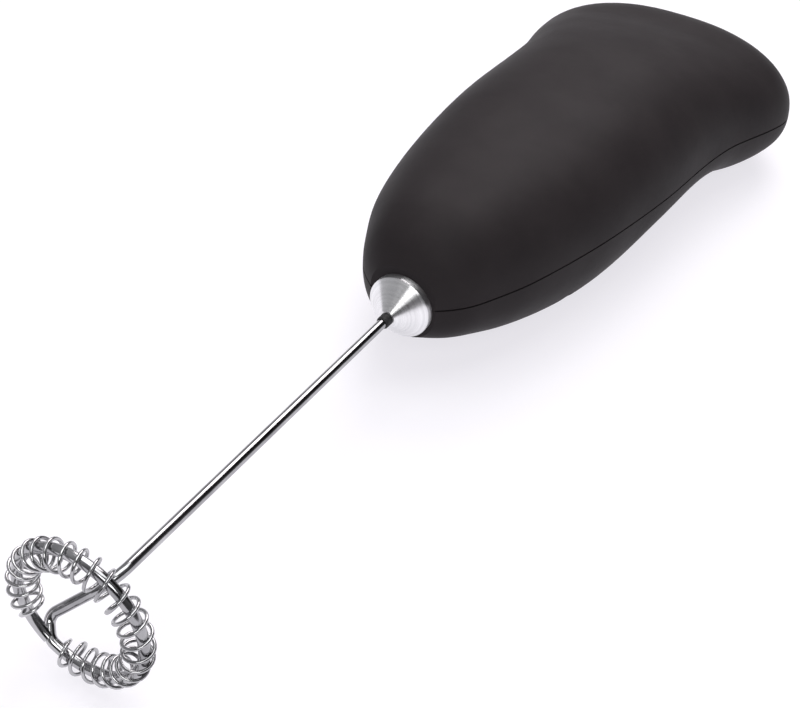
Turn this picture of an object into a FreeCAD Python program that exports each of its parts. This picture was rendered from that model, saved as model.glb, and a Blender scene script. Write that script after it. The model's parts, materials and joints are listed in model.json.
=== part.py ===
import FreeCAD, Part
import math
import os

# Hand-held milk frother, in millimetres, built as separate pieces.
# The working axes have X along the drive shaft, from the whisk towards the tail of the handle,
# with x = 0 at the tip of the nose collar and z = 0 on the shaft. export() then tilts and moves every
# piece, so that the object lies on the plane z = 0 with its origin under its middle.

V = FreeCAD.Vector
X_AXIS = V(1, 0, 0)

# ---- whisk and drive shaft ----
ROD_R = 0.8
RING_X = -72.8
HOOP_R = 10.15
FOOT_DEG = 304.0
FOOT_RUN = 1.0
HOOP_START_DEG = FOOT_DEG - math.degrees(FOOT_RUN / HOOP_R)
HOOP_GAP_DEG = 2.0
HOOP_END_DEG = FOOT_DEG - 360.0 + HOOP_GAP_DEG
FIRST_SWEEP_DEG = 110.0
ELBOW_DEG = 318.0
ELBOW_RISE = 2.0
ELBOW_R = 1.6
FOOT_BEND_R = 2.0
LEG_RISE = 6.5
LEG_BEND_R = 5.0
COIL_R = 2.05
COIL_WIRE_R = 0.25
COIL_TURNS = 26
COIL_START_DEG = 297.0
COIL_SPAN_DEG = 327.0
COIL_PLAY = 0.03
CLOSING_TURNS = 0.8
ROD_END_X = 10.6

# ---- nose ----
CONE_LENGTH = 3.4
NOSE_R = 1.3
CONE_R = 5.2
RIM_R = 5.35
HANDLE_FRONT = 4.7
FRONT_WALL = 2.2
SPIGOT_R = 4.7
BUSH_R = 1.7
SEAL_R = 1.05
SEAL_REACH = 1.6
FLANGE_X = HANDLE_FRONT + FRONT_WALL
RUN_GAP = 0.05
SLIP_FIT = 0.03
BUSH_FRONT = 0.8
BUSH_BACK = HANDLE_FRONT + 0.2
COLLAR_FLANGE = 0.8
COLLAR_BORE_R = 3.2

# ---- handle ----
HANDLE_LENGTH = 120.8
TAIL_START = 103.8
TAIL_POWER = 2.3
SECTION_POWER = 2.35
SECTION_POINTS = 32
WALL = 1.8
PARTING_WIDTH = 0.3
PARTING_DEPTH = 0.4
HALF_WIDTH = [(4.7, 6.0), (6.6, 8.2), (9, 10.2), (13, 12.3), (19, 14.9), (28, 17.4), (38, 19.4), (49, 20.9),
              (60, 21.9), (70, 22.2), (80, 22.7), (88, 23.8), (96, 25.8), (104, 27.1), (121, 27.3)]
TOP = [(4.7, 6.6), (6.6, 9.4), (9, 11.4), (13, 12.9), (21, 13.7), (37, 13.9), (53, 14.1), (69, 13.4),
       (83, 11.9), (94, 9.7), (104, 7.6), (121, 7.0)]
BOTTOM = [(4.7, -6.0), (9, -8.2), (13, -9.8), (19, -12.0), (28, -14.7), (37, -16.4), (46, -16.5), (56, -14.3),
          (66, -12.9), (76, -12.7), (85, -14.6), (93, -17.4), (100, -18.7), (106, -18.9), (121, -18.8)]
SEAM = [(4.7, 1.0), (21, 1.2), (42, 0.2), (64, -1.5), (85, -3.6), (104, -6.2), (121, -9.0)]
STATIONS = [5.6, 6.6, 8, 10, 13, 17, 22, 28, 35, 42, 49, 56, 63, 70, 76, 82, 87, 92, 97, 101]
TAIL_ANGLES = [0, 14, 28, 42, 55, 67, 77, 85]

# ---- how it lies: on its belly and its tail, with the shaft sloping down to the whisk ----
TILT_DEG = 2.0
REST_HEIGHT = 14.6

# ---- motor, a flat-sided miniature can ----
MOTOR_X = 16.5
CAN_LENGTH = 20.5
CAN_R = 10.05
CAN_FLAT = 7.55
CAN_WALL = 1.0
BOSS_R = 3.1
BOSS_LENGTH = 1.5
CAP_LENGTH = 4.0
CAN_BACK = MOTOR_X + CAN_LENGTH
CAP_BACK = CAN_BACK + CAP_LENGTH
AXLE_R = 1.0
AXLE_FRONT = 10.8
POLE_R = 6.5
POLE_COUNT = 3
CORE_X = MOTOR_X + 4.5
CORE_LENGTH = 11.0
COMMUTATOR_R = 2.4
RIB_XS = (MOTOR_X + 2.0, MOTOR_X + 17.6)
RIB_THICK = 1.2
AIR_GAP = 0.4
MAGNET_FRONT = MOTOR_X + 3.0
MAGNET_BACK = MOTOR_X + 17.0
MAGNET_HALF_Z = 5.2
CAP_PLUG = 1.2
CAP_FLOOR = 1.6
CAP_BORE_R = 6.2
LUG_Y = (5.6, 6.0)
LUG_HALF_Z = 1.2
ARM_HALF = 1.2
COIL_HALF = 2.4
SHOE_THICK = 1.1
SHOE_GAP_DEG = 12.0
SLEEVE_THICK = 0.8
SLEEVE_FRONT = MOTOR_X + 5.5
SLEEVE_BACK = MOTOR_X + 15.5
COUPLER_R = 2.6

# ---- batteries, two round cells side by side ----
CELL_R = 7.1
CELL_LENGTH = 50.5
NUB_LENGTH = 1.0
NUB_R = 2.75
CELL_Y = 7.45
CELL_Z = -3.0
BAY_FRONT = 45.0
BAY_BACK = 100.2
TRAY_WALL = 1.5
TRAY_SKIN = 1.0
CELL_ROOM = 0.2
CONTACT_HALF = 5.0
SPRING_WIRE_R = 0.25
SPRING_SMALL_R = 2.2
SPRING_LARGE_R = 3.6
SPRING_TURNS = 3
SEAT_PLAY = 0.02
PLATE = 0.4
DOOR_X = (48.0, 98.0)
DOOR_HALF_Y = 15.3
DOOR_CORNER = 3.0
DOOR_TOP = -5.0
DOOR_GAP = 0.15
RAIL_XS = (58.0, 78.0)
RAIL_LENGTH = 8.0
RAIL_Y = (13.2, 14.4)
RAIL_Z = (-12.0, -8.0)
GROOVE_COUNT = 5
GROOVE_X = 56.0
GROOVE_PITCH = 2.2
GROOVE_WIDTH = 0.9
GROOVE_DEPTH = 0.45
GROOVE_HALF_Y = 6.0

# ---- thumb button in the tail ----
BUTTON_Z = -8.4
BUTTON_HALF_Y = 7.8
BUTTON_HALF_Z = 3.8
BUTTON_GAP = 0.25
BUTTON_TIP = 122.4
BUTTON_FLANGE_X = 115.4
FLANGE_THICK = 1.2
STEM_R = 1.5
GUIDE_X = 110.4
GUIDE_THICK = 1.2
LEAF_X = 102.2
BRIDGE_X = 104.2
BUTTON_SPRING_R = 2.3
BUTTON_WIRE_R = 0.18

# ---- case screws: x, y and the height of the head's seat ----
SCREW_LENGTH = 11.0
SCREW_R = 1.05
HEAD_R = 2.0
HEAD_HEIGHT = 1.4
RECESS_HALF = 1.2
RECESS_THIN = 0.25
RECESS_DEPTH = 0.7
TIP_LENGTH = 1.5
TIP_R = 0.3
POST_R = 2.5
SCREW_PLACES = [(34.0, 14.0, -7.2), (34.0, -14.0, -7.2), (109.0, 19.0, -12.0), (109.0, -19.0, -12.0)]

# ---- move from the working axes to the object's own frame ----
TURN = FreeCAD.Rotation(V(0, 1, 0), -TILT_DEG)
RING_OUTER_R = HOOP_R + ROD_R + COIL_PLAY + 2 * COIL_WIRE_R
RING_END = TURN.multVec(V(RING_X - COIL_R - COIL_WIRE_R, 0, RING_OUTER_R)).x
TAIL_END = TURN.multVec(V(BUTTON_TIP, 0, BUTTON_Z)).x
ORIGIN_X = (RING_END + TAIL_END) / 2
PLACE = FreeCAD.Placement(V(-ORIGIN_X, 0, REST_HEIGHT), TURN)


# ---- helpers ----
def smooth(points):
    """A smooth curve through (x, value) points, as a function of x."""
    xs = [p[0] for p in points]
    ys = [p[1] for p in points]
    last = len(xs) - 1
    slopes = []
    for i in range(len(xs)):
        a = max(i - 1, 0)
        b = min(i + 1, last)
        slopes.append((ys[b] - ys[a]) / (xs[b] - xs[a]))

    def value(x):
        i = 0
        while i < last - 1 and x > xs[i + 1]:
            i += 1
        step = xs[i + 1] - xs[i]
        t = (x - xs[i]) / step
        rise = ys[i + 1] - ys[i]
        a = slopes[i] * step - rise
        b = rise - slopes[i + 1] * step
        return ys[i] + rise * t + t * (1 - t) * (a * (1 - t) + b * t)

    return value


half_width = smooth(HALF_WIDTH)
top = smooth(TOP)
bottom = smooth(BOTTOM)
seam = smooth(SEAM)


def rod_x(x0, x1, r, y=0.0, z=0.0):
    """A round bar along X."""
    return Part.makeCylinder(r, x1 - x0, V(x0, y, z), X_AXIS)


def tube_x(x0, x1, r_out, r_in, y=0.0, z=0.0):
    """A round tube along X."""
    return rod_x(x0, x1, r_out, y, z).cut(rod_x(x0 - 1, x1 + 1, r_in, y, z))


def block(x0, x1, y0, y1, z0, z1):
    """A rectangular block between two corners."""
    return Part.makeBox(x1 - x0, y1 - y0, z1 - z0, V(x0, y0, z0))


def turned(profile):
    """A turned piece from (x, radius) points."""
    points = [V(x, 0, r) for x, r in profile]
    face = Part.Face(Part.makePolygon(points + [points[0]]))
    return face.revolve(V(0, 0, 0), X_AXIS, 360)


def mirrored(shape):
    """The same piece on the other side of the middle plane."""
    return shape.mirror(V(0, 0, 0), V(0, 1, 0))


def slot_x(x0, x1, half_y, half_z, z):
    """A bar along X with a section that is flat above and below and round at its sides."""
    reach = half_y - half_z
    core = block(x0, x1, -reach, reach, z - half_z, z + half_z)
    return core.fuse([rod_x(x0, x1, half_z, reach, z), rod_x(x0, x1, half_z, -reach, z)]).removeSplitter()


def rounded_plate(x0, x1, half_y, corner, z0, z1):
    """An upright prism whose plan is a rectangle with round corners."""
    plate = block(x0, x1, -half_y, half_y, z0, z1)
    uprights = [e for e in plate.Edges if abs(e.Vertexes[0].Z - e.Vertexes[1].Z) > 1e-6]
    return plate.makeFillet(corner, uprights)


def bent_path(points, radii):
    """Straight runs through the points, joined by tangent arcs of the given radii."""
    edges = []
    start = points[0]
    for i, radius in enumerate(radii):
        corner = points[i + 1]
        back = (points[i] - corner).normalize()
        ahead = (points[i + 2] - corner).normalize()
        half = back.getAngle(ahead) / 2
        reach = radius / math.tan(half)
        middle = (back + ahead).normalize()
        a = corner + back * reach
        b = corner + ahead * reach
        m = corner + middle * (radius / math.sin(half) - radius)
        edges.append(Part.LineSegment(start, a).toShape())
        edges.append(Part.Arc(a, m, b).toShape())
        start = b
    edges.append(Part.LineSegment(start, points[-1]).toShape())
    return edges


def swept(edges, radius):
    """A round wire along a path of edges."""
    path = Part.Wire(edges)
    first = edges[0]
    tangent = first.tangentAt(first.FirstParameter)
    circle = Part.Wire([Part.makeCircle(radius, first.valueAt(first.FirstParameter), tangent)])
    return path.makePipeShell([circle], True, True)


def coil_spring_x(x0, x1, r0, r1, wire_r, turns, y, z):
    """A compression spring along X between two seats."""
    steps = 12 * turns
    lead = x0 + wire_r
    rise = x1 - x0 - 2 * wire_r
    points = []
    for i in range(steps + 1):
        t = i / steps
        angle = 2 * math.pi * turns * t
        r = r0 + (r1 - r0) * t
        points.append(V(lead + rise * t, y + r * math.cos(angle), z + r * math.sin(angle)))
    curve = Part.BSplineCurve()
    curve.interpolate(Points=points)
    return swept([curve.toShape()], wire_r)


# ---- handle body ----
def tail_taper(x, inset):
    """How much the section has closed in behind the start of the tail."""
    if x <= TAIL_START:
        return 1.0
    s = (x - TAIL_START) / (HANDLE_LENGTH - inset - TAIL_START)
    return (1 - s ** TAIL_POWER) ** (1 / TAIL_POWER)


def section(x, inset):
    """The closed outline across the handle at x, drawn in by inset."""
    taper = tail_taper(x, inset)
    wide = (half_width(x) - inset) * taper
    middle = seam(x)
    above = (top(x) - middle - inset) * taper
    below = (middle - bottom(x) - inset) * taper
    power = 2 / SECTION_POWER
    points = []
    for k in range(SECTION_POINTS):
        angle = 2 * math.pi * k / SECTION_POINTS
        c = math.cos(angle)
        s = math.sin(angle)
        rise = above if s >= 0 else below
        y = math.copysign(abs(c) ** power, c) * wide
        z = middle + math.copysign(abs(s) ** power, s) * rise
        points.append(V(x, y, z))
    curve = Part.BSplineCurve()
    knots = [k / SECTION_POINTS for k in range(SECTION_POINTS + 1)]
    curve.interpolate(Points=points, PeriodicFlag=True, Parameters=knots)
    return Part.Wire([curve.toShape()])


def handle_solid(front, inset):
    """The solid inside the handle's surface, drawn in by inset, from the plane x = front."""
    reach = HANDLE_LENGTH - inset - TAIL_START
    xs = [front] + [x for x in STATIONS if x > front + 0.5]
    for angle in TAIL_ANGLES:
        xs.append(TAIL_START + reach * math.sin(math.radians(angle)) ** (2 / TAIL_POWER))
    return Part.makeLoft([section(x, inset) for x in xs], True, False)


def above_seam(lift=0.0):
    """A block whose lower side follows the parting line of the two shells."""
    steps = 12
    xs = [HANDLE_FRONT - 2 + HANDLE_LENGTH / steps * i for i in range(steps + 1)]
    curve = Part.BSplineCurve()
    curve.interpolate(Points=[V(x, -40, seam(x) + lift) for x in xs])
    a = V(xs[0], -40, 40)
    b = V(xs[-1], -40, 40)
    edges = [curve.toShape(),
             Part.LineSegment(V(xs[-1], -40, seam(xs[-1]) + lift), b).toShape(),
             Part.LineSegment(b, a).toShape(),
             Part.LineSegment(a, V(xs[0], -40, seam(xs[0]) + lift)).toShape()]
    return Part.Face(Part.Wire(edges)).extrude(V(0, 80, 0))


def parting_groove(outer):
    """The shadow line round the handle where the two shells meet."""
    skin = outer.cut(handle_solid(HANDLE_FRONT - 1, PARTING_DEPTH))
    return skin.common(above_seam(-PARTING_WIDTH / 2)).cut(above_seam(PARTING_WIDTH / 2))


def can_profile(x0, x1, grow):
    """The motor can's outline, round with two flats, grown all round."""
    flats = CAN_FLAT + grow
    return rod_x(x0, x1, CAN_R + grow).common(block(x0, x1, -30, 30, -flats, flats))


def motor_ribs(limit):
    """Cross walls inside the shells that hold the motor."""
    ribs = []
    for x in RIB_XS:
        slab = block(x, x + RIB_THICK, -30, 30, -30, 30).common(limit)
        ribs.append(slab.cut(can_profile(x - 1, x + RIB_THICK + 1, RUN_GAP)))
    return ribs


def screw_posts(limit):
    """Posts for the case screws, trimmed to lie inside the handle's surface."""
    return [Part.makeCylinder(POST_R, 60, V(x, y, -30)).common(limit) for x, y, _ in SCREW_PLACES]


def screw_holes():
    """Clearance for each screw's shank, and a deep seat for its head."""
    holes = []
    for x, y, seat in SCREW_PLACES:
        shank = Part.makeCylinder(SCREW_R + SLIP_FIT, SCREW_LENGTH + 0.3, V(x, y, seat))
        head = Part.makeCylinder(HEAD_R + 0.2, 30, V(x, y, seat - 30))
        holes.append(shank.fuse(head))
    return holes


def half_space(height):
    """Everything above a plane that is level when the object lies at rest."""
    space = block(-200, 200, -60, 60, height, 120)
    space.Placement = PLACE.inverse()
    return space


def make_shells():
    """Upper shell, lower shell and battery door, all cut from one hollow form."""
    outer = handle_solid(HANDLE_FRONT, 0.0).common(half_space(0.0))
    inner = handle_solid(FLANGE_X, WALL).common(half_space(WALL))
    limit = handle_solid(HANDLE_FRONT, 0.6).common(half_space(0.6))
    bare = outer.cut(inner)
    full = bare.fuse(motor_ribs(limit) + screw_posts(limit))
    full = full.cut(rod_x(0, FLANGE_X + 1, SPIGOT_R + SLIP_FIT))
    full = full.cut(rod_x(FLANGE_X, FLANGE_X + 4, RIM_R + 0.1))
    full = full.cut(slot_x(BUTTON_FLANGE_X, BUTTON_TIP + 4, BUTTON_HALF_Y + BUTTON_GAP,
                           BUTTON_HALF_Z + BUTTON_GAP, BUTTON_Z))
    for hole in screw_holes():
        full = full.cut(hole)
    full = full.cut(parting_groove(outer))
    knife = above_seam()
    door_plan = rounded_plate(DOOR_X[0], DOOR_X[1], DOOR_HALF_Y, DOOR_CORNER, -40, DOOR_TOP)
    door_hole = rounded_plate(DOOR_X[0] - DOOR_GAP, DOOR_X[1] + DOOR_GAP, DOOR_HALF_Y + DOOR_GAP,
                              DOOR_CORNER + DOOR_GAP, -40, DOOR_TOP + 1)
    upper = full.common(knife)
    lower = full.cut(knife).cut(door_hole)
    door = finish_door(bare.cut(knife).common(door_plan), limit)
    return upper, lower, door


def finish_door(door, limit):
    """The door with stiffening rails inside and shallow thumb grooves outside."""
    for x in RAIL_XS:
        rail = block(x, x + RAIL_LENGTH, *RAIL_Y, *RAIL_Z).common(limit)
        door = door.fuse([rail, mirrored(rail)])
    for i in range(GROOVE_COUNT):
        x = GROOVE_X + GROOVE_PITCH * i
        low = bottom(x + GROOVE_WIDTH / 2)
        groove = block(x, x + GROOVE_WIDTH, -GROOVE_HALF_Y, GROOVE_HALF_Y, low - 1, low + GROOVE_DEPTH)
        door = door.cut(groove)
    return door


def largest(shape):
    """The biggest solid of a shape."""
    return max(shape.Solids, key=lambda s: s.Volume)


# ---- nose pieces ----
def make_collar():
    """The turned steel nose cone, with its rim, its spigot and the flange behind the wall."""
    back = FLANGE_X + COLLAR_FLANGE
    return turned([(0, NOSE_R), (CONE_LENGTH, CONE_R), (CONE_LENGTH + 0.15, RIM_R), (HANDLE_FRONT, RIM_R),
                   (HANDLE_FRONT, SPIGOT_R), (FLANGE_X, SPIGOT_R), (FLANGE_X, RIM_R), (back, RIM_R),
                   (back, COLLAR_BORE_R), (BUSH_BACK, COLLAR_BORE_R), (BUSH_BACK, BUSH_R),
                   (BUSH_FRONT, BUSH_R), (BUSH_FRONT, SEAL_R - 0.05), (0, SEAL_R - 0.05)])


def make_front_bush():
    """The plain bearing in the collar."""
    return tube_x(BUSH_FRONT, BUSH_BACK, BUSH_R, ROD_R + RUN_GAP)


def make_nose_seal():
    """The rubber sleeve that keeps milk out of the bearing."""
    bore = ROD_R + RUN_GAP
    back = BUSH_FRONT - RUN_GAP
    return turned([(-SEAL_REACH, bore), (-SEAL_REACH, SEAL_R - 0.15), (0.3 - SEAL_REACH, SEAL_R), (0, SEAL_R),
                   (0, SEAL_R - 0.05), (back, SEAL_R - 0.05), (back, bore)])


# ---- whisk ----
def ring_point(angle_deg, radius):
    """A point of the ring plane."""
    a = math.radians(angle_deg)
    return V(RING_X, radius * math.cos(a), radius * math.sin(a))


def ring_tangent(angle_deg):
    """The direction in which the hoop runs on from the leg's foot, at a point of the ring."""
    a = math.radians(angle_deg)
    return V(0, math.sin(a), -math.cos(a))


def make_whisk_rod():
    """The shaft, bent into an oblique leg and a hoop whose end is welded to the leg's foot."""
    bend = V(RING_X + LEG_RISE, 0, 0)
    elbow = ring_point(ELBOW_DEG, HOOP_R) + V(ELBOW_RISE, 0, 0)
    start = ring_point(HOOP_START_DEG, HOOP_R)
    half_way = ring_point(HOOP_START_DEG - FIRST_SWEEP_DEG, HOOP_R)
    turn_point = ring_point(HOOP_START_DEG - FIRST_SWEEP_DEG / 2, HOOP_R)
    toe = start - ring_tangent(HOOP_START_DEG) * FOOT_RUN
    edges = bent_path([V(ROD_END_X, 0, 0), bend, elbow, toe, start], [LEG_BEND_R, ELBOW_R, FOOT_BEND_R])
    edges.append(Part.Arc(start, turn_point, half_way).toShape())
    first = swept(edges, ROD_R)
    middle = ring_point((HOOP_START_DEG - FIRST_SWEEP_DEG + HOOP_END_DEG) / 2, HOOP_R)
    end = ring_point(HOOP_END_DEG, HOOP_R)
    rest = swept([Part.Arc(half_way, middle, end).toShape()], ROD_R)
    return first.fuse(rest).removeSplitter()


def make_whisk_coil():
    """The fine wire wound round the hoop, hung on its outer side and closed on it at both ends."""
    steps = 8 * COIL_TURNS
    points = []
    for i in range(steps + 1):
        turns = COIL_TURNS * i / steps
        open_by = min(1.0, turns / CLOSING_TURNS, (COIL_TURNS - turns) / CLOSING_TURNS)
        slack = (COIL_R - COIL_WIRE_R - ROD_R - COIL_PLAY) * open_by
        r = ROD_R + COIL_WIRE_R + COIL_PLAY + slack
        a = math.radians(COIL_START_DEG - COIL_SPAN_DEG * i / steps)
        turn = 2 * math.pi * turns
        away = HOOP_R - slack + r * math.cos(turn)
        points.append(V(RING_X + r * math.sin(turn), away * math.cos(a), away * math.sin(a)))
    curve = Part.BSplineCurve()
    curve.interpolate(Points=points)
    low = curve.FirstParameter
    step = (curve.LastParameter - low) / COIL_TURNS
    edges = [curve.toShape(low + i * step, low + (i + 1) * step) for i in range(COIL_TURNS)]
    return swept(edges, COIL_WIRE_R)


# ---- motor ----
def make_motor_can():
    """The drawn steel can with its front bearing boss."""
    can = can_profile(MOTOR_X, CAN_BACK, 0).fuse(rod_x(MOTOR_X - BOSS_LENGTH, MOTOR_X, BOSS_R))
    can = can.cut(can_profile(MOTOR_X + CAN_WALL, CAN_BACK + 1, -CAN_WALL))
    return can.cut(rod_x(0, MOTOR_X + 2, BOSS_R - 0.9)).removeSplitter()


def make_motor_bush():
    """The sintered bearing in the can's boss."""
    return tube_x(MOTOR_X - BOSS_LENGTH, MOTOR_X + CAN_WALL, BOSS_R - 0.9, AXLE_R + SLIP_FIT)


def make_magnets():
    """Two curved magnets, one on each side of the armature."""
    ring = tube_x(MAGNET_FRONT, MAGNET_BACK, CAN_R - CAN_WALL, POLE_R + AIR_GAP)
    return ring.common(block(0, 50, -30, 30, -MAGNET_HALF_Z, MAGNET_HALF_Z))


def make_end_cap():
    """The nylon cap that closes the can and holds the rear bearing."""
    plug = can_profile(CAN_BACK - CAP_PLUG, CAN_BACK, -CAN_WALL - 0.02)
    cap = can_profile(CAN_BACK, CAP_BACK, 0).fuse(plug)
    cap = cap.cut(rod_x(CAN_BACK - 2, CAP_BACK - CAP_FLOOR, CAP_BORE_R))
    cap = cap.cut(rod_x(CAN_BACK - 2, CAP_BACK + 1, AXLE_R + SLIP_FIT))
    lug = brush_lug(0.02)
    return cap.cut([lug, mirrored(lug)])


def brush_lug(grow):
    """The tab of one brush, which comes out through the cap."""
    half_z = LUG_HALF_Z + grow
    return block(CAP_BACK - 2.0, CAP_BACK + 2.0, LUG_Y[0] - grow, LUG_Y[1] + grow, -half_z, half_z)


def make_brushes():
    """Two spring leaves that press on the commutator."""
    x1 = CAP_BACK - CAP_FLOOR
    leaf = block(x1 - 3.0, x1, COMMUTATOR_R + 0.1, COMMUTATOR_R + 0.4, -4.4, 4.0)
    link = block(x1 - 0.4, x1, COMMUTATOR_R + 0.2, LUG_Y[1] - 0.1, -LUG_HALF_Z, LUG_HALF_Z)
    brush = leaf.fuse([link, brush_lug(0.0)]).removeSplitter()
    return Part.makeCompound([brush, mirrored(brush)])


def make_armature_core():
    """The laminated core with its poles."""
    x0 = CORE_X
    x1 = CORE_X + CORE_LENGTH
    core = rod_x(x0, x1, COMMUTATOR_R)
    shoe = tube_x(x0, x1, POLE_R, POLE_R - SHOE_THICK)
    half = 180 / POLE_COUNT - SHOE_GAP_DEG
    for i in range(POLE_COUNT):
        turn = 360 / POLE_COUNT * i
        arm = block(x0, x1, -ARM_HALF, ARM_HALF, 0, POLE_R - SHOE_THICK / 2)
        wedge = Part.makeCylinder(POLE_R + 2, x1 - x0, V(x0, 0, 0), X_AXIS, 2 * half)
        wedge.rotate(V(0, 0, 0), X_AXIS, 180 - half)
        piece = arm.fuse(shoe.common(wedge))
        piece.rotate(V(0, 0, 0), X_AXIS, turn)
        core = core.fuse(piece)
    return core.cut(rod_x(x0 - 1, x1 + 1, AXLE_R)).removeSplitter()


def make_windings():
    """One copper coil round each pole's arm."""
    x0 = CORE_X
    x1 = CORE_X + CORE_LENGTH
    coils = []
    for i in range(POLE_COUNT):
        coil = block(x0 - ARM_HALF, x1 + ARM_HALF, -COIL_HALF, COIL_HALF, COMMUTATOR_R + 0.5, POLE_R)
        coil = coil.common(rod_x(x0 - 2, x1 + 2, POLE_R - SHOE_THICK - 0.05))
        coil = coil.cut(block(x0 - 0.02, x1 + 0.02, -ARM_HALF - 0.02, ARM_HALF + 0.02, 0, POLE_R))
        coil.rotate(V(0, 0, 0), X_AXIS, 360 / POLE_COUNT * i)
        coils.append(coil)
    return Part.makeCompound(coils)


def make_commutator():
    """The commutator with its three gaps."""
    x0 = CAN_BACK - 1.6
    ring = tube_x(x0, x0 + 3.6, COMMUTATOR_R, AXLE_R)
    for i in range(POLE_COUNT):
        gap = block(x0 + 0.6, x0 + 4, -0.2, 0.2, COMMUTATOR_R - 0.4, COMMUTATOR_R + 1)
        gap.rotate(V(0, 0, 0), X_AXIS, 360 / POLE_COUNT * (i + 0.5))
        ring = ring.cut(gap)
    return ring


def make_motor_sleeve():
    """The foam rubber band round the can."""
    band = can_profile(SLEEVE_FRONT, SLEEVE_BACK, SLEEVE_THICK)
    return band.cut(can_profile(SLEEVE_FRONT - 1, SLEEVE_BACK + 1, 0))


def make_coupler():
    """The nylon coupler between the whisk's shaft and the motor's axle."""
    front = FLANGE_X + 1.1
    back = MOTOR_X - BOSS_LENGTH - 0.4
    edge = 0.4
    coupler = turned([(front, 0), (front, COUPLER_R - edge), (front + edge, COUPLER_R),
                      (back - edge, COUPLER_R), (back, COUPLER_R - edge), (back, 0)])
    coupler = coupler.cut(rod_x(front - 1, ROD_END_X, ROD_R))
    return coupler.cut(rod_x(ROD_END_X, back + 1, AXLE_R))


# ---- batteries and contacts ----
def make_cell(y, nub_ahead):
    """A round cell with its raised positive end."""
    body = CELL_LENGTH - NUB_LENGTH
    x0 = BAY_FRONT + PLATE + NUB_LENGTH
    cell = rod_x(x0, x0 + body, CELL_R)
    ends = [e for e in cell.Edges if e.Curve.TypeId == "Part::GeomCircle"]
    cell = cell.makeFillet(0.6, ends)
    cell = cell.fuse(rod_x(x0 - NUB_LENGTH, x0 + 1, NUB_R)).removeSplitter()
    if not nub_ahead:
        cell = cell.mirror(V((BAY_FRONT + BAY_BACK) / 2, 0, 0), X_AXIS)
    cell.translate(V(0, y, CELL_Z))
    return cell


def make_tray(room):
    """The tray that carries the cells and their contacts, open below for the door."""
    x0 = BAY_FRONT - TRAY_WALL
    x1 = BAY_BACK + TRAY_WALL
    skin_r = CELL_R + CELL_ROOM + TRAY_SKIN
    tray = rod_x(x0, x1, skin_r, CELL_Y, CELL_Z).fuse(rod_x(x0, x1, skin_r, -CELL_Y, CELL_Z))
    for y in (CELL_Y, -CELL_Y):
        tray = tray.cut(rod_x(BAY_FRONT, BAY_BACK, CELL_R + CELL_ROOM, y, CELL_Z))
    tray = tray.cut(block(BAY_FRONT, BAY_BACK, -20, 20, -20, CELL_Z))
    tray = tray.cut(block(BAY_FRONT, BAY_BACK, -1.5, 1.5, -20, CELL_Z + 2.5))
    tray = tray.common(room).common(block(x0, x1, -20, 20, CELL_Z - CELL_R, 20))
    for tab in (front_tab(SLIP_FIT), tail_tab(SLIP_FIT)):
        tray = tray.cut([tab, mirrored(tab)])
    return tray


def front_tab(grow):
    """The solder tab of a front contact, through the tray's wall."""
    return block(BAY_FRONT - 3.0, BAY_FRONT, 9.5 - grow, 11.5 + grow, -0.2 - grow, 0.2 + grow)


def tail_tab(grow):
    """The strip of a tail contact, through the tray's wall."""
    z = BUTTON_Z + 1.0
    return block(BAY_BACK, LEAF_X + PLATE, 5.0 - grow, 6.5 + grow, z - 0.2 - grow, z + 0.2 + grow)


def contact_plate(x0):
    """The square plate that a cell or its spring presses on."""
    half = CONTACT_HALF
    return block(x0, x0 + PLATE, CELL_Y - half, CELL_Y + half, CELL_Z - half, CELL_Z + half)


def make_front_contact():
    """A front contact with its solder tab."""
    return contact_plate(BAY_FRONT).fuse(front_tab(0.0)).removeSplitter()


def make_tail_contact():
    """A tail contact with the fixed leaf of the switch."""
    leaf = block(LEAF_X, LEAF_X + PLATE, 2.0, 6.5, BUTTON_Z - 2.2, BUTTON_Z + 2.2)
    return contact_plate(BAY_BACK - PLATE).fuse([tail_tab(0.0), leaf]).removeSplitter()


def make_battery_springs():
    """The conical springs at the cells' negative ends."""
    gap = BAY_BACK - BAY_FRONT - 2 * PLATE - CELL_LENGTH
    back = BAY_BACK - PLATE
    left = coil_spring_x(back - gap + SEAT_PLAY, back - SEAT_PLAY, SPRING_SMALL_R, SPRING_LARGE_R,
                         SPRING_WIRE_R, SPRING_TURNS, CELL_Y, CELL_Z)
    front = BAY_FRONT + PLATE
    right = coil_spring_x(front + SEAT_PLAY, front + gap - SEAT_PLAY, SPRING_LARGE_R, SPRING_SMALL_R,
                          SPRING_WIRE_R, SPRING_TURNS, -CELL_Y, CELL_Z)
    return Part.makeCompound([left, right])


def make_lead():
    """A short insulated lead from a motor tab, over the cap, to a front contact's tab."""
    x = CAP_BACK + 1.1
    points = [V(x, 6.55, 0.4), V(x, 6.6, 4.6), V(x + 0.2, 10.4, 5.6), V(x + 0.5, 10.5, 0.75)]
    return swept(bent_path(points, [1.8, 1.5]), 0.5)


# ---- button ----
def make_button():
    """The thumb button with its crowned face, its flange and its stem."""
    cap = slot_x(BUTTON_FLANGE_X, BUTTON_TIP, BUTTON_HALF_Y, BUTTON_HALF_Z, BUTTON_Z)
    rim = [e for e in cap.Edges if abs(e.CenterOfMass.x - BUTTON_TIP) < 1e-6]
    cap = cap.makeFillet(0.9, rim)
    flange = slot_x(BUTTON_FLANGE_X, BUTTON_FLANGE_X + FLANGE_THICK, BUTTON_HALF_Y + 1.2,
                    BUTTON_HALF_Z + 0.9, BUTTON_Z)
    stem = rod_x(BRIDGE_X + PLATE, BUTTON_FLANGE_X + 1, STEM_R, 0, BUTTON_Z)
    return cap.fuse([flange, stem]).removeSplitter()


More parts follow.
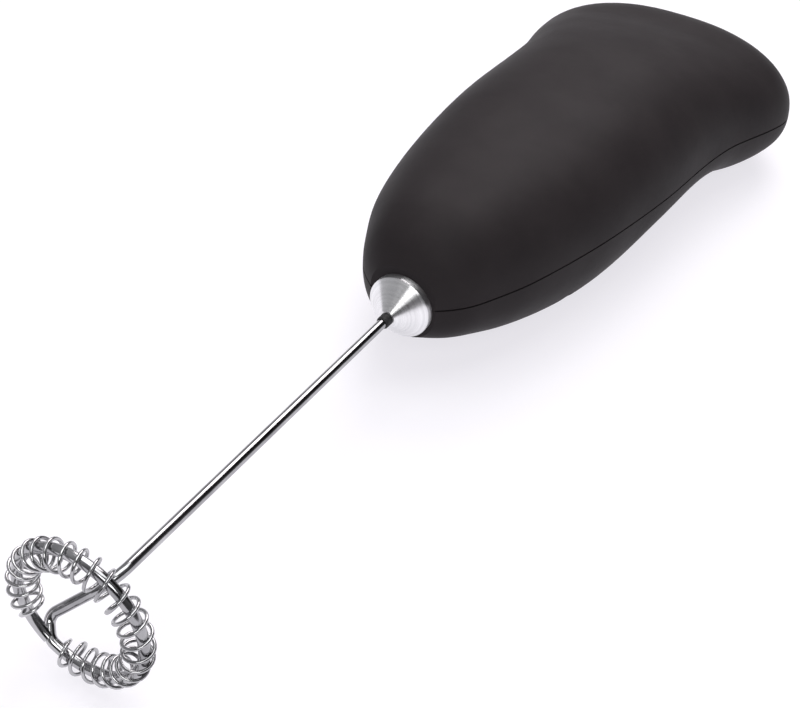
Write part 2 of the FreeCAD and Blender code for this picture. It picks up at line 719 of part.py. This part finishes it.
def make_button_bridge():
    """The metal strip on the stem that joins the two fixed leaves."""
    strip = block(BRIDGE_X, BRIDGE_X + PLATE, -6, 6, BUTTON_Z - 1.6, BUTTON_Z + 1.6)
    ends = [e for e in strip.Edges if abs(e.Vertexes[0].X - e.Vertexes[1].X) > 1e-6]
    return strip.makeFillet(1.2, ends)


def make_button_guide(room):
    """The cross piece that guides the stem and seats the return spring."""
    guide = block(GUIDE_X, GUIDE_X + GUIDE_THICK, -13.5, 13.5, -30, 20).common(room)
    return guide.cut(rod_x(GUIDE_X - 1, GUIDE_X + 3, STEM_R + RUN_GAP, 0, BUTTON_Z))


def make_button_spring():
    """The button's return spring round its stem."""
    return coil_spring_x(GUIDE_X + GUIDE_THICK + SEAT_PLAY, BUTTON_FLANGE_X - SEAT_PLAY, BUTTON_SPRING_R,
                         BUTTON_SPRING_R, BUTTON_WIRE_R, SPRING_TURNS, 0, BUTTON_Z)


# ---- fasteners ----
def make_screw(x, y, seat):
    """A self-tapping pan-head screw with a cross recess, driven upwards."""
    head = Part.makeCylinder(HEAD_R, HEAD_HEIGHT, V(x, y, seat - HEAD_HEIGHT))
    low = seat - HEAD_HEIGHT
    rim = [e for e in head.Edges if abs(e.CenterOfMass.z - low) < 1e-6 and len(e.Vertexes) == 1]
    head = head.makeFillet(0.5, rim)
    for a, b in ((RECESS_HALF, RECESS_THIN), (RECESS_THIN, RECESS_HALF)):
        head = head.cut(block(x - a, x + a, y - b, y + b, low - 1, low + RECESS_DEPTH))
    shank = Part.makeCylinder(SCREW_R, SCREW_LENGTH - TIP_LENGTH, V(x, y, seat))
    tip = Part.makeCone(SCREW_R, TIP_R, TIP_LENGTH, V(x, y, seat + SCREW_LENGTH - TIP_LENGTH))
    return head.fuse([shank, tip]).removeSplitter()


def export(name, shape):
    """Write one node in the object's own frame."""
    shape = shape.copy()
    shape.transformShape(PLACE.toMatrix(), True)
    shape.exportStep(os.path.join("parts", name + ".step"))
    print(name, "solids", len(shape.Solids), "volume", round(shape.Volume, 2), "valid", shape.isValid())


def main():
    os.makedirs("parts", exist_ok=True)
    upper, lower, door = make_shells()
    room = handle_solid(FLANGE_X, WALL + 0.15).common(half_space(WALL + 0.15))
    pieces = {
        "upper_shell": largest(upper),
        "lower_shell": largest(lower),
        "battery_door": largest(door),
        "nose_collar": make_collar(),
        "front_bush": make_front_bush(),
        "nose_seal": make_nose_seal(),
        "whisk_rod": make_whisk_rod(),
        "whisk_coil": make_whisk_coil(),
        "shaft_coupler": make_coupler(),
        "motor_axle": rod_x(AXLE_FRONT, CAP_BACK + 0.8, AXLE_R),
        "armature_core": make_armature_core(),
        "armature_windings": make_windings(),
        "commutator": make_commutator(),
        "motor_can": make_motor_can(),
        "motor_bush": make_motor_bush(),
        "motor_magnets": make_magnets(),
        "motor_end_cap": make_end_cap(),
        "motor_brushes": make_brushes(),
        "motor_sleeve": make_motor_sleeve(),
        "battery_tray": largest(make_tray(room)),
        "battery_cell_left": make_cell(CELL_Y, True),
        "battery_cell_right": make_cell(-CELL_Y, False),
        "front_contact_left": make_front_contact(),
        "front_contact_right": mirrored(make_front_contact()),
        "tail_contact_left": make_tail_contact(),
        "tail_contact_right": mirrored(make_tail_contact()),
        "battery_springs": make_battery_springs(),
        "red_lead": make_lead(),
        "black_lead": mirrored(make_lead()),
        "push_button": make_button(),
        "button_bridge": make_button_bridge(),
        "button_guide": largest(make_button_guide(room)),
        "button_spring": make_button_spring(),
        "case_screws": Part.makeCompound([make_screw(*place) for place in SCREW_PLACES]),
    }
    for name, shape in pieces.items():
        export(name, shape)


main()
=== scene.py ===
import json
import math
import random

import bpy
from mathutils import Matrix, Vector


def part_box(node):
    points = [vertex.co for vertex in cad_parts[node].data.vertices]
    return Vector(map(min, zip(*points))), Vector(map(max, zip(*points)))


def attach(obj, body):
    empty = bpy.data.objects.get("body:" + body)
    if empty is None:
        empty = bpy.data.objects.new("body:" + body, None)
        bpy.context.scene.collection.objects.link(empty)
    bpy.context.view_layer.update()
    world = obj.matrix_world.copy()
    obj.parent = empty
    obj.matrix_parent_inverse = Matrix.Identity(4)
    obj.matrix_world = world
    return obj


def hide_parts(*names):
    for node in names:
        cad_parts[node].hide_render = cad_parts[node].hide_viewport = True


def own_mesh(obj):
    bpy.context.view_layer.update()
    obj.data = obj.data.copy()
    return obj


# A hand-held milk frother lying on a pale floor. Lengths are metres, and MM turns millimetres into them.
MM = 0.001
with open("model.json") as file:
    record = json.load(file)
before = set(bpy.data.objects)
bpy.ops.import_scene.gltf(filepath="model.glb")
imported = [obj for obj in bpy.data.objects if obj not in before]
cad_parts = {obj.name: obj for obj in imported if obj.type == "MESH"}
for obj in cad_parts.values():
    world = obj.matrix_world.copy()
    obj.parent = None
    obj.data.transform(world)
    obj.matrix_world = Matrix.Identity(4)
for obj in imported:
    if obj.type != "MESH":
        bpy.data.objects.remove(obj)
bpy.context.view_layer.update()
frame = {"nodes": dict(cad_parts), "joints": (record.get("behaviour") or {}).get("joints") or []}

# ---- where the drive shaft runs, from the whisk's own joint ----
SPIN = next(joint for joint in frame["joints"] if joint["name"] == "whisk_spin")
NOSE_TIP = Vector(SPIN["pos_m"])
SHAFT = Vector(SPIN["axis"]).normalized()
SIDE = Vector((0.0, 1.0, 0.0))
UP = SHAFT.cross(SIDE)
TILT = -math.atan2(SHAFT.z, SHAFT.x)

# ---- the fine wire wound round the whisk's hoop ----
RING_PLACE = 72.8 * MM
ROD_R = 0.8 * MM
COIL_R = 2.05 * MM
COIL_WIRE_R = 0.25 * MM
COIL_PLAY = 0.03 * MM
COIL_TURNS = 26
COIL_START_DEG = 297.0
COIL_SPAN_DEG = 327.0
CLOSING_TURNS = 0.8
LEAN_DEG = 1.3
LEAST_SWELL = 0.95
STEPS_PER_TURN = 24
WIRE_SIDES = 10
WIRE_END_BULGE = 0.7

# ---- the button's return spring, by distance along the shaft's line and below it ----
SPRING_START = 111.62 * MM
SPRING_END = 115.38 * MM
SPRING_DROP = 8.4 * MM
SPRING_R = 2.3 * MM
SPRING_WIRE_R = 0.18 * MM
SPRING_TURNS = 3

# ---- camera ----
CAMERA_TARGET = Vector((-30.63, -6.59, 15.0)) * MM
CAMERA_DISTANCE = 240.4 * MM
CAMERA_AZIMUTH_DEG = -61.46
CAMERA_ELEVATION_DEG = 36.96
CAMERA_ROLL_DEG = 4.37
CAMERA_LENS_MM = 72.0
CAMERA_SENSOR_MM = 36.0
CAMERA_NEAR = 0.01
CAMERA_FAR = 20.0

random.seed(7)


# ---- material graphs ----
# Soft noise mostly stays between these two values.
NOISE_LOW = 0.3
NOISE_HIGH = 0.7
# The same size in every direction.
EVEN = (1.0, 1.0, 1.0)


class Graph:
    """A material's node tree, with one call for each kind of node that the materials use."""

    def __init__(self, name, rough, metallic=0.0, specular=0.5):
        self.material = bpy.data.materials.new(name)
        self.material.use_nodes = True
        self.tree = self.material.node_tree
        self.shader = self.tree.nodes["Principled BSDF"]
        self.shader.inputs["Roughness"].default_value = rough
        self.shader.inputs["Metallic"].default_value = metallic
        self.shader.inputs["Specular IOR Level"].default_value = specular
        self.coords = self.tree.nodes.new("ShaderNodeTexCoord")

    def link(self, out, into):
        self.tree.links.new(out, into)

    def feed(self, value, socket):
        """Gives a socket a number, or links another socket to it."""
        if isinstance(value, (int, float)):
            socket.default_value = value
        else:
            self.link(value, socket)

    def place(self, stretch=EVEN):
        """Coordinates along the shaft, to its side and above it, in metres, stretched."""
        turn = self.tree.nodes.new("ShaderNodeMapping")
        turn.vector_type = "TEXTURE"
        turn.inputs["Location"].default_value = NOSE_TIP
        turn.inputs["Rotation"].default_value = (0.0, TILT, 0.0)
        self.link(self.coords.outputs["Object"], turn.inputs["Vector"])
        if stretch == EVEN:
            return turn.outputs["Vector"]
        scale = self.tree.nodes.new("ShaderNodeMapping")
        scale.inputs["Scale"].default_value = stretch
        self.link(turn.outputs["Vector"], scale.inputs["Vector"])
        return scale.outputs["Vector"]

    def noise(self, size, detail=3.0, stretch=EVEN, vector=None):
        """Soft noise whose features are about size across, from 0 to 1."""
        node = self.tree.nodes.new("ShaderNodeTexNoise")
        node.inputs["Scale"].default_value = 1.0 / size
        node.inputs["Detail"].default_value = detail
        self.link(vector or self.place(stretch), node.inputs["Vector"])
        return node.outputs["Fac"]

    def cells(self, size):
        """Distance to the nearest of many scattered points."""
        node = self.tree.nodes.new("ShaderNodeTexVoronoi")
        node.inputs["Scale"].default_value = 1.0 / size
        self.link(self.place(), node.inputs["Vector"])
        return node.outputs["Distance"]

    def math(self, kind, a, b=0.0):
        """One operation on two values. Each is a socket or a number."""
        node = self.tree.nodes.new("ShaderNodeMath")
        node.operation = kind
        self.feed(a, node.inputs[0])
        self.feed(b, node.inputs[1])
        return node.outputs[0]

    def reach(self):
        """Distance from the shaft's axis, and distance along it."""
        split = self.tree.nodes.new("ShaderNodeSeparateXYZ")
        self.link(self.place(), split.inputs[0])
        across = self.math("MULTIPLY", split.outputs["Y"], split.outputs["Y"])
        above = self.math("MULTIPLY", split.outputs["Z"], split.outputs["Z"])
        return self.math("SQRT", self.math("ADD", across, above)), split.outputs["X"]

    def join(self, x, y, z):
        """One vector made from three values. Each is a socket or a number."""
        node = self.tree.nodes.new("ShaderNodeCombineXYZ")
        for value, socket in zip((x, y, z), node.inputs):
            self.feed(value, socket)
        return node.outputs[0]

    def colour(self, value, dark, light, start=NOISE_LOW, end=NOISE_HIGH):
        """Base colour that runs from dark to light with value."""
        ramp = self.tree.nodes.new("ShaderNodeValToRGB")
        ramp.color_ramp.elements[0].position = start
        ramp.color_ramp.elements[0].color = (*dark, 1.0)
        ramp.color_ramp.elements[1].position = end
        ramp.color_ramp.elements[1].color = (*light, 1.0)
        self.link(value, ramp.inputs["Fac"])
        self.link(ramp.outputs["Color"], self.shader.inputs["Base Color"])

    def rough(self, value, low, high):
        """Roughness that runs from low to high with value."""
        spread = self.tree.nodes.new("ShaderNodeMapRange")
        spread.inputs["From Min"].default_value = NOISE_LOW
        spread.inputs["From Max"].default_value = NOISE_HIGH
        spread.inputs["To Min"].default_value = low
        spread.inputs["To Max"].default_value = high
        self.link(value, spread.inputs["Value"])
        self.link(spread.outputs["Result"], self.shader.inputs["Roughness"])

    def bump(self, height, depth):
        """Fine relief, added to any that is there already. depth is in metres."""
        node = self.tree.nodes.new("ShaderNodeBump")
        node.inputs["Strength"].default_value = 1.0
        node.inputs["Distance"].default_value = depth
        self.link(height, node.inputs["Height"])
        normal = self.shader.inputs["Normal"]
        if normal.is_linked:
            self.link(normal.links[0].from_socket, node.inputs["Normal"])
        self.link(node.outputs["Normal"], normal)

    def set(self, **values):
        """Uniform values, straight on the shader's own sockets."""
        for name, value in values.items():
            self.shader.inputs[name.replace("_", " ")].default_value = value


# ---- plastics and rubber ----
def soft_black():
    """Matt soft-touch lacquer over the handle's mouldings."""
    g = Graph("soft_touch_black", 0.5, specular=0.06)
    cloud = g.noise(9 * MM, detail=4.0)
    grain = g.noise(0.16 * MM, detail=2.0)
    g.colour(cloud, (0.0225, 0.0192, 0.0206), (0.0275, 0.0236, 0.0250))
    g.rough(g.noise(14 * MM, detail=5.0), 0.47, 0.56)
    g.bump(cloud, 0.02 * MM)
    g.bump(grain, 0.010 * MM)
    return g.material


def button_black():
    """Satin rubber-like plastic of the thumb button."""
    g = Graph("button_satin_black", 0.4)
    g.colour(g.noise(3 * MM), (0.022, 0.021, 0.023), (0.030, 0.028, 0.030))
    g.rough(g.noise(5 * MM, detail=4.0), 0.36, 0.46)
    g.bump(g.cells(0.45 * MM), 0.02 * MM)
    return g.material


def seal_rubber():
    """Black nitrile rubber with a dusty bloom."""
    g = Graph("seal_nitrile_rubber", 0.6, specular=0.35)
    g.colour(g.noise(0.6 * MM), (0.010, 0.010, 0.011), (0.024, 0.023, 0.024))
    g.rough(g.noise(0.8 * MM), 0.5, 0.7)
    g.bump(g.noise(0.12 * MM), 0.008 * MM)
    return g.material


def tray_black():
    """Unpainted black polypropylene with flow marks."""
    g = Graph("tray_polypropylene", 0.42)
    g.colour(g.noise(8 * MM, stretch=(0.3, 1.0, 1.0)), (0.016, 0.016, 0.017), (0.026, 0.026, 0.028))
    g.rough(g.noise(2 * MM), 0.36, 0.5)
    g.bump(g.noise(0.3 * MM), 0.006 * MM)
    return g.material


def foam_black():
    """Open-cell foam rubber."""
    g = Graph("foam_open_cell", 0.9, specular=0.2)
    pores = g.cells(0.5 * MM)
    g.colour(pores, (0.006, 0.006, 0.006), (0.035, 0.034, 0.034), 0.1, 0.6)
    g.bump(pores, 0.12 * MM)
    return g.material


def nylon_white():
    """Natural nylon, slightly yellow and cloudy."""
    g = Graph("nylon_natural", 0.45)
    g.colour(g.noise(4 * MM), (0.66, 0.63, 0.54), (0.78, 0.76, 0.68))
    g.rough(g.noise(1.5 * MM), 0.38, 0.52)
    g.bump(g.noise(0.25 * MM), 0.006 * MM)
    g.set(Subsurface_Weight=0.15, Subsurface_Scale=1.0 * MM)
    return g.material


def insulation(name, dark, light):
    """Glossy vinyl insulation with faint extrusion lines."""
    g = Graph(name, 0.35)
    g.colour(g.noise(2 * MM), dark, light)
    g.rough(g.noise(0.7 * MM), 0.28, 0.42)
    g.bump(g.noise(0.12 * MM, stretch=(1.0, 1.0, 0.15)), 0.006 * MM)
    return g.material


def cell_jacket():
    """Shrink-wrapped foil sleeve of a cell, with faint creases along it."""
    g = Graph("cell_foil_jacket", 0.3, metallic=0.55)
    g.colour(g.noise(5 * MM, stretch=(0.12, 1.0, 1.0)), (0.12, 0.14, 0.17), (0.34, 0.36, 0.40))
    g.rough(g.noise(1.2 * MM), 0.24, 0.38)
    g.bump(g.noise(2.5 * MM, stretch=(0.4, 1.0, 1.0)), 0.02 * MM)
    return g.material


# ---- metals ----
def metal(name, dark, light, rough, streak=EVEN, size=0.5 * MM, depth=0.003 * MM):
    """Bare or plated metal with tarnish clouds and fine marks that run along streak."""
    low, high = rough
    g = Graph(name, high, metallic=1.0)
    g.colour(g.noise(6 * MM, detail=4.0), dark, light)
    marks = g.noise(size, detail=4.0, stretch=streak)
    g.rough(marks, low, high)
    g.bump(marks, depth)
    return g.material


def spun_steel():
    """The turned nose cone. Its circular tool lines gather the light in wedges from the nose to the rim."""
    g = Graph("steel_turned", 0.3, metallic=1.0)
    reach, run = g.reach()
    lines = g.noise(0.055 * MM, detail=2.0, vector=g.join(reach, run, 0.0))
    wide = g.noise(0.5 * MM, detail=2.0, vector=g.join(reach, run, 0.0))
    g.colour(wide, (0.74, 0.74, 0.75), (0.92, 0.92, 0.93))
    g.rough(lines, 0.24, 0.36)
    g.bump(lines, 0.003 * MM)
    g.set(Anisotropic=0.8, Anisotropic_Rotation=0.25)
    tangent = g.tree.nodes.new("ShaderNodeTangent")
    tangent.direction_type = "RADIAL"
    tangent.axis = "X"
    g.link(tangent.outputs["Tangent"], g.shader.inputs["Tangent"])
    return g.material


def polished_wire():
    """Drawn and polished stainless wire, with draw lines along the shaft and faint water marks."""
    return metal("steel_drawn_polished", (0.30, 0.30, 0.31), (0.52, 0.52, 0.53), (0.08, 0.2),
                 streak=(0.02, 1.0, 1.0), size=0.12 * MM, depth=0.0015 * MM)


def coil_wire():
    """The same steel in a finer gauge, left as it is drawn."""
    return metal("steel_spring_wire", (0.34, 0.34, 0.35), (0.58, 0.58, 0.59), (0.10, 0.22),
                 size=0.3 * MM, depth=0.001 * MM)


def sintered_bronze():
    """Pressed and sintered bronze, porous and soaked with oil."""
    g = Graph("bronze_sintered", 0.45, metallic=1.0)
    pores = g.cells(0.16 * MM)
    g.colour(pores, (0.20, 0.12, 0.05), (0.55, 0.36, 0.17), 0.1, 0.5)
    g.rough(pores, 0.35, 0.6)
    g.bump(pores, 0.01 * MM)
    return g.material


def motor_steel():
    """Drawn and zinc-plated can."""
    return metal("steel_can_plated", (0.46, 0.47, 0.47), (0.66, 0.67, 0.68), (0.25, 0.42),
                 streak=(0.06, 1.0, 1.0), size=0.4 * MM)


def ferrite():
    """Ground ceramic magnet."""
    g = Graph("ferrite_ground", 0.62)
    g.colour(g.noise(0.4 * MM), (0.030, 0.030, 0.033), (0.062, 0.062, 0.066))
    g.bump(g.cells(0.22 * MM), 0.01 * MM)
    return g.material


def lamination():
    """A stack of thin steel sheets seen on edge."""
    g = Graph("steel_laminated", 0.45, metallic=1.0)
    _, run = g.reach()
    sheets = g.math("FRACT", g.math("MULTIPLY", run, 1.0 / (0.5 * MM)))
    g.colour(sheets, (0.10, 0.10, 0.11), (0.42, 0.42, 0.43), 0.05, 0.2)
    g.bump(sheets, 0.02 * MM)
    g.rough(g.noise(1 * MM), 0.38, 0.55)
    return g.material


def copper():
    """Enamelled winding wire and bare copper, in fine strands."""
    g = Graph("copper_enamelled", 0.3, metallic=1.0)
    reach, run = g.reach()
    strands = g.math("FRACT", g.math("MULTIPLY", reach, 1.0 / (0.22 * MM)))
    g.colour(strands, (0.28, 0.09, 0.035), (0.80, 0.34, 0.15), 0.0, 0.6)
    g.rough(g.noise(0.6 * MM), 0.22, 0.4)
    g.bump(strands, 0.02 * MM)
    return g.material


def nickel():
    """Nickel-plated contact strip with fine rolling marks."""
    return metal("nickel_plated_strip", (0.52, 0.50, 0.46), (0.72, 0.70, 0.66), (0.2, 0.35),
                 streak=(1.0, 1.0, 0.08), size=0.3 * MM)


def spring_steel():
    """Oil-tempered spring wire."""
    return metal("spring_steel_tempered", (0.30, 0.30, 0.31), (0.52, 0.51, 0.50), (0.22, 0.4), size=0.5 * MM)


def zinc_screw():
    """Bright zinc plate with a faint blue and yellow passivation."""
    return metal("zinc_passivated", (0.52, 0.55, 0.58), (0.74, 0.72, 0.62), (0.22, 0.4), size=0.6 * MM)


LOOKS = {
    "soft_black": soft_black,
    "button_black": button_black,
    "seal_rubber": seal_rubber,
    "tray_black": tray_black,
    "foam_black": foam_black,
    "nylon_white": nylon_white,
    "cell_jacket": cell_jacket,
    "red_insulation": lambda: insulation("vinyl_red", (0.36, 0.012, 0.010), (0.55, 0.03, 0.025)),
    "black_insulation": lambda: insulation("vinyl_black", (0.012, 0.012, 0.013), (0.03, 0.03, 0.032)),
    "spun_steel": spun_steel,
    "polished_wire": polished_wire,
    "sintered_bronze": sintered_bronze,
    "motor_steel": motor_steel,
    "ferrite": ferrite,
    "lamination": lamination,
    "copper": copper,
    "nickel": nickel,
    "spring_steel": spring_steel,
    "zinc_screw": zinc_screw,
}


def dress_frame():
    """Every CAD node gets the look of the material slot that the record gives it."""
    made = {slot: look() for slot, look in LOOKS.items()}
    for node in frame["nodes"].values():
        for socket in node.material_slots:
            socket.material = made[socket.material.name.split(".")[0]]


# ---- wire pieces ----
def eased(values, turns):
    """One value for each turn, run smoothly from one to the next."""
    k = min(int(turns), len(values) - 2)
    part = turns - k
    ease = part * part * (3.0 - 2.0 * part)
    return values[k] * (1.0 - ease) + values[k + 1] * ease


def coil_line(outer_r):
    """The wire's centre line. Its turns lean and swell a little, hang on the hoop's outer side, and close on
    the hoop at both ends."""
    lean = [random.uniform(-LEAN_DEG, LEAN_DEG) for _ in range(COIL_TURNS + 2)]
    swell = [random.uniform(LEAST_SWELL, 1.0) for _ in range(COIL_TURNS + 2)]
    centre = NOSE_TIP - SHAFT * RING_PLACE
    tight = ROD_R + COIL_WIRE_R + COIL_PLAY
    hoop_r = outer_r - tight - COIL_WIRE_R
    steps = STEPS_PER_TURN * COIL_TURNS
    points = []
    for i in range(steps + 1):
        turns = COIL_TURNS * i / steps
        open_by = min(1.0, turns / CLOSING_TURNS, (COIL_TURNS - turns) / CLOSING_TURNS)
        slack = (COIL_R * eased(swell, turns) - tight) * open_by
        r = tight + slack
        angle = math.radians(COIL_START_DEG - COIL_SPAN_DEG * i / steps + eased(lean, turns) * open_by)
        turn = 2.0 * math.pi * turns
        away = hoop_r - slack + r * math.cos(turn)
        points.append(centre + SHAFT * (r * math.sin(turn))
                      + SIDE * (away * math.cos(angle)) + UP * (away * math.sin(angle)))
    return points


def rings(points, radius):
    """Rings of corners round a line of points, each square to the line and in step with the one before."""
    last = len(points) - 1
    side = (points[1] - points[0]).normalized().orthogonal().normalized()
    corners = []
    for i, point in enumerate(points):
        ahead = (points[min(i + 1, last)] - points[max(i - 1, 0)]).normalized()
        side = (side - ahead * side.dot(ahead)).normalized()
        other = ahead.cross(side)
        for k in range(WIRE_SIDES):
            angle = 2.0 * math.pi * k / WIRE_SIDES
            corners.append(point + side * (radius * math.cos(angle)) + other * (radius * math.sin(angle)))
    return corners


def ring_edges(ring):
    """The pairs of neighbouring corners round one ring."""
    first = ring * WIRE_SIDES
    return [(first + k, first + (k + 1) % WIRE_SIDES) for k in range(WIRE_SIDES)]


def wire(name, points, radius):
    """A round wire along points, with rounded ends."""
    last = len(points) - 1
    corners = rings(points, radius)
    faces = []
    for ring in range(last):
        faces += [(a, b, b + WIRE_SIDES, a + WIRE_SIDES) for a, b in ring_edges(ring)]
    for end, inner in ((0, 1), (last, last - 1)):
        tip = len(corners)
        outward = (points[end] - points[inner]).normalized()
        corners.append(points[end] + outward * (radius * WIRE_END_BULGE))
        faces += [(tip, b, a) if end == 0 else (tip, a, b) for a, b in ring_edges(end)]
    mesh = bpy.data.meshes.new(name)
    mesh.from_pydata(corners, [], faces)
    mesh.shade_smooth()
    piece = bpy.data.objects.new(name, mesh)
    bpy.context.scene.collection.objects.link(piece)
    return piece


def add_coil():
    """The coil as it is really wound, in place of the even one."""
    low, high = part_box("whisk_coil")
    coil = wire("whisk_coil_wire", coil_line((high.y - low.y) / 2.0), COIL_WIRE_R)
    coil.data.materials.append(coil_wire())
    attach(coil, "rotor")
    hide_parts("whisk_coil")


def add_button_spring():
    """The button's return spring, wound from wire in place of the CAD one and carried by the handle."""
    seat = NOSE_TIP + SHAFT * SPRING_START - UP * SPRING_DROP
    rise = SPRING_END - SPRING_START - 2.0 * SPRING_WIRE_R
    steps = STEPS_PER_TURN * SPRING_TURNS
    points = []
    for i in range(steps + 1):
        turn = 2.0 * math.pi * SPRING_TURNS * i / steps
        points.append(seat + SHAFT * (SPRING_WIRE_R + rise * i / steps)
                      + SIDE * (SPRING_R * math.cos(turn)) + UP * (SPRING_R * math.sin(turn)))
    spring = wire("button_spring_wire", points, SPRING_WIRE_R)
    spring.data.materials.append(spring_steel())
    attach(spring, "handle")
    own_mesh(spring)
    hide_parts("button_spring")


# ---- floor, light and camera ----
# A place in the room is an azimuth and an elevation in degrees. Azimuth 0 is -Y and 90 is +X.
FLOOR_HALF = 3.0
FLOOR_Z = 0.0
FLOOR_CLOUD = 0.35
FLOOR_GLOW = 0.76
FLOOR_GLOW_TINT = (0.965, 0.945, 1.0, 1.0)
ROOM_TINT = (0.97, 0.97, 1.0, 1.0)
ROOM_HIGH = 0.42
ROOM_LOW = 0.08
ROOM_BRIGHT = (150.0, 40.0)
ROOM_BRIGHT_EDGES = (20.0, 125.0)
FLAG_LEVEL = 0.04
FLAG_BACK = (61.5, 37.0)
FLAG_BACK_EDGES = (16.0, 40.0)
FLAG_FRONT = (-61.5, 37.0)
FLAG_FRONT_EDGES = (21.0, 29.0)
LIT_MIDDLE = Vector((0.0, 0.0, 0.015))
KEY_PLACE = (106.0, 48.0)
KEY_DISTANCE = 0.8
KEY_SIZE = (0.5, 0.5)
KEY_POWER = 3.6
KEY_TINT = (1.0, 0.94, 0.95)
TOP_PLACE = (-20.0, 86.0)
TOP_DISTANCE = 0.8
TOP_SIZE = (0.6, 0.6)
TOP_POWER = 3.2
FRONT_PLACE = (-61.5, 40.0)
FRONT_DISTANCE = 0.9
FRONT_SIZE = (0.50, 0.25)
FRONT_POWER = 2.0
PLAIN_WHITE = (1.0, 1.0, 1.0)


def add_floor():
    """A plain pale floor of smooth coated board."""
    mesh = bpy.data.meshes.new("floor")
    signs = [(-1, -1), (1, -1), (1, 1), (-1, 1)]
    mesh.from_pydata([(x * FLOOR_HALF, y * FLOOR_HALF, FLOOR_Z) for x, y in signs], [], [(0, 1, 2, 3)])
    floor = bpy.data.objects.new("floor", mesh)
    bpy.context.scene.collection.objects.link(floor)
    g = Graph("floor_pale_board", 0.6, specular=0.2)
    g.colour(g.noise(FLOOR_CLOUD), (0.27, 0.27, 0.275), (0.285, 0.285, 0.29))
    g.set(Emission_Color=FLOOR_GLOW_TINT, Emission_Strength=FLOOR_GLOW)
    floor.data.materials.append(g.material)


def facing(azimuth_deg, elevation_deg):
    """The direction of a place in the room."""
    azimuth = math.radians(azimuth_deg)
    elevation = math.radians(elevation_deg)
    return Vector((math.sin(azimuth) * math.cos(elevation), -math.cos(azimuth) * math.cos(elevation),
                   math.sin(elevation)))


def add_panel(name, place, distance, size, power, tint):
    """A rectangular soft light at a place in the room, aimed at the object's middle."""
    light = bpy.data.lights.new(name, "AREA")
    light.shape = "RECTANGLE"
    light.size, light.size_y = size
    light.energy = power
    light.color = tint
    lamp = bpy.data.objects.new(name, light)
    lamp.location = LIT_MIDDLE + facing(*place) * distance
    lamp.rotation_euler = (LIT_MIDDLE - lamp.location).to_track_quat("-Z", "Y").to_euler()
    bpy.context.scene.collection.objects.link(lamp)


class Room:
    """The room's light as a node tree, built up from soft-edged patches."""

    def __init__(self):
        self.world = bpy.data.worlds.new("room")
        self.world.use_nodes = True
        self.tree = self.world.node_tree
        self.coords = self.tree.nodes.new("ShaderNodeTexCoord")
        self.shader = self.tree.nodes["Background"]
        self.shader.inputs["Color"].default_value = ROOM_TINT
        self.level = None

    def patch(self, place, edges, inside, outside):
        """Multiplies the light by a round patch, at one level inside its inner edge and another beyond its
        outer edge. The edges are angles from the place, in degrees."""
        inner, outer = edges
        dot = self.tree.nodes.new("ShaderNodeVectorMath")
        dot.operation = "DOT_PRODUCT"
        dot.inputs[1].default_value = facing(*place)
        self.tree.links.new(self.coords.outputs["Generated"], dot.inputs[0])
        fade = self.tree.nodes.new("ShaderNodeMapRange")
        fade.interpolation_type = "SMOOTHSTEP"
        fade.inputs["From Min"].default_value = math.cos(math.radians(outer))
        fade.inputs["From Max"].default_value = math.cos(math.radians(inner))
        fade.inputs["To Min"].default_value = outside
        fade.inputs["To Max"].default_value = inside
        self.tree.links.new(dot.outputs["Value"], fade.inputs["Value"])
        if self.level is None:
            self.level = fade.outputs["Result"]
            return
        product = self.tree.nodes.new("ShaderNodeMath")
        product.operation = "MULTIPLY"
        self.tree.links.new(self.level, product.inputs[0])
        self.tree.links.new(fade.outputs["Result"], product.inputs[1])
        self.level = product.outputs[0]

    def finish(self):
        self.tree.links.new(self.level, self.shader.inputs["Strength"])
        bpy.context.scene.world = self.world


def add_lights():
    """A room that is brighter on one side, dark flags that the polished steel reflects, and three panels."""
    room = Room()
    room.patch(ROOM_BRIGHT, ROOM_BRIGHT_EDGES, ROOM_HIGH, ROOM_LOW)
    room.patch(FLAG_BACK, FLAG_BACK_EDGES, FLAG_LEVEL, 1.0)
    room.patch(FLAG_FRONT, FLAG_FRONT_EDGES, FLAG_LEVEL, 1.0)
    room.finish()
    add_panel("key", KEY_PLACE, KEY_DISTANCE, KEY_SIZE, KEY_POWER, KEY_TINT)
    add_panel("top", TOP_PLACE, TOP_DISTANCE, TOP_SIZE, TOP_POWER, PLAIN_WHITE)
    add_panel("front", FRONT_PLACE, FRONT_DISTANCE, FRONT_SIZE, FRONT_POWER, PLAIN_WHITE)


def add_camera():
    """Looks down on the whisk from its end, with a long lens and a slight roll."""
    roll = math.radians(CAMERA_ROLL_DEG)
    back = facing(CAMERA_AZIMUTH_DEG, CAMERA_ELEVATION_DEG)
    level = Vector((0.0, 0.0, 1.0)).cross(back).normalized()
    rise = back.cross(level)
    right = level * math.cos(roll) + rise * math.sin(roll)
    above = rise * math.cos(roll) - level * math.sin(roll)
    lens = bpy.data.cameras.new("camera")
    lens.lens = CAMERA_LENS_MM
    lens.sensor_width = CAMERA_SENSOR_MM
    lens.clip_start = CAMERA_NEAR
    lens.clip_end = CAMERA_FAR
    camera = bpy.data.objects.new("camera", lens)
    turn = Matrix((right, above, back)).transposed()
    camera.matrix_world = Matrix.Translation(CAMERA_TARGET + back * CAMERA_DISTANCE) @ turn.to_4x4()
    bpy.context.scene.collection.objects.link(camera)
    bpy.context.scene.camera = camera


bpy.context.scene.view_settings.view_transform = "Standard"
dress_frame()
add_coil()
add_button_spring()
add_floor()
add_lights()
add_camera()
